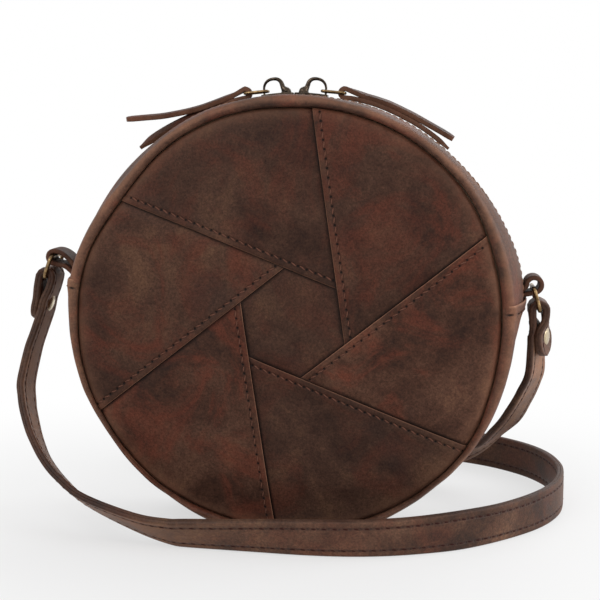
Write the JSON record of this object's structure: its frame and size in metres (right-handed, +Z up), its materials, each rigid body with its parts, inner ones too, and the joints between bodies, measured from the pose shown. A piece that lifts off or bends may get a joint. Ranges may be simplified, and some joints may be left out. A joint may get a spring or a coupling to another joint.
{
  "type": "circle bag",
  "caption": "Round leather shoulder bag with a lapped pinwheel front, a curved two-way zip with leather pulls, and a riveted strap on side rings.",
  "frame": {"origin": "on the surface that the bag stands on, under the middle of the bag", "axes": "+Z up, -Y towards the pinwheel front, +X towards the bag's right side as seen from the front; the bag's round axis is along Y"},
  "size_m": [0.2604, 0.2018, 0.2109],
  "materials": {
    "leather": "oiled, with worn lighter patches",
    "dark_leather": "oiled, darker edges",
    "lining": "woven cotton",
    "tape": "woven zip tape",
    "brass": "antique, brushed"
  },
  "bodies": {
    "bag": {"front_hexagon": "leather", "front_blade_1": "leather", "front_blade_2": "leather", "front_blade_3": "leather", "front_blade_4": "leather", "front_blade_5": "leather", "front_blade_6": "leather", "front_lining": "lining", "back_panel": "leather", "back_lining": "lining", "gusset_bottom": "leather", "gusset_lining": "lining", "zip_band_front": "leather", "zip_band_back": "leather", "zip_tape_front": "tape", "zip_tape_back": "tape", "zip_teeth_front": "brass", "zip_teeth_back": "brass", "ring_tab_left": "dark_leather", "ring_tab_right": "dark_leather", "strap_outer": "leather", "strap_inner": "dark_leather", "rivet_left": "brass", "rivet_right": "brass"},
    "slider_left": {"slider_left": "brass"},
    "slider_right": {"slider_right": "brass"},
    "link_left": {"link_left": "brass"},
    "link_right": {"link_right": "brass"},
    "thong_left": {"thong_left": "dark_leather"},
    "thong_right": {"thong_right": "dark_leather"},
    "ring_left": {"ring_left": "brass"},
    "ring_right": {"ring_right": "brass"}
  },
  "joints": [
    {"name": "slider_left_travel", "type": "hinge", "parent": "bag", "child": "slider_left", "pos_m": [0, 0, 0.1001], "axis": [0, -1, 0], "range_deg": [0, 30], "deforming": ["zip_teeth_front", "zip_teeth_back"]},
    {"name": "slider_right_travel", "type": "hinge", "parent": "bag", "child": "slider_right", "pos_m": [0, 0, 0.1001], "axis": [0, 1, 0], "range_deg": [0, 34.5], "deforming": ["zip_teeth_front", "zip_teeth_back"]},
    {"name": "link_left_swing", "type": "hinge", "parent": "slider_left", "child": "link_left", "pos_m": [-0.01275, 0, 0.20377], "axis": [0, 1, 0], "range_deg": [0, 100]},
    {"name": "link_right_swing", "type": "hinge", "parent": "slider_right", "child": "link_right", "pos_m": [0.01275, 0, 0.20377], "axis": [0, -1, 0], "range_deg": [0, 100]},
    {"name": "thong_left_swing", "type": "hinge", "parent": "link_left", "child": "thong_left", "pos_m": [-0.0232, 0, 0.20276], "axis": [0, 1, 0], "range_deg": [0, 90]},
    {"name": "thong_right_swing", "type": "hinge", "parent": "link_right", "child": "thong_right", "pos_m": [0.0232, 0, 0.20276], "axis": [0, -1, 0], "range_deg": [0, 90]},
    {"name": "ring_left_swing", "type": "hinge", "parent": "bag", "child": "ring_left", "pos_m": [-0.11492, 0, 0.12642], "axis": [0, 1, 0], "range_deg": [-12, 12], "deforming": ["strap_outer", "strap_inner"]},
    {"name": "ring_right_swing", "type": "hinge", "parent": "bag", "child": "ring_right", "pos_m": [0.11064, 0, 0.11388], "axis": [0, -1, 0], "range_deg": [-12, 12], "deforming": ["strap_outer", "strap_inner"]}
  ]
}
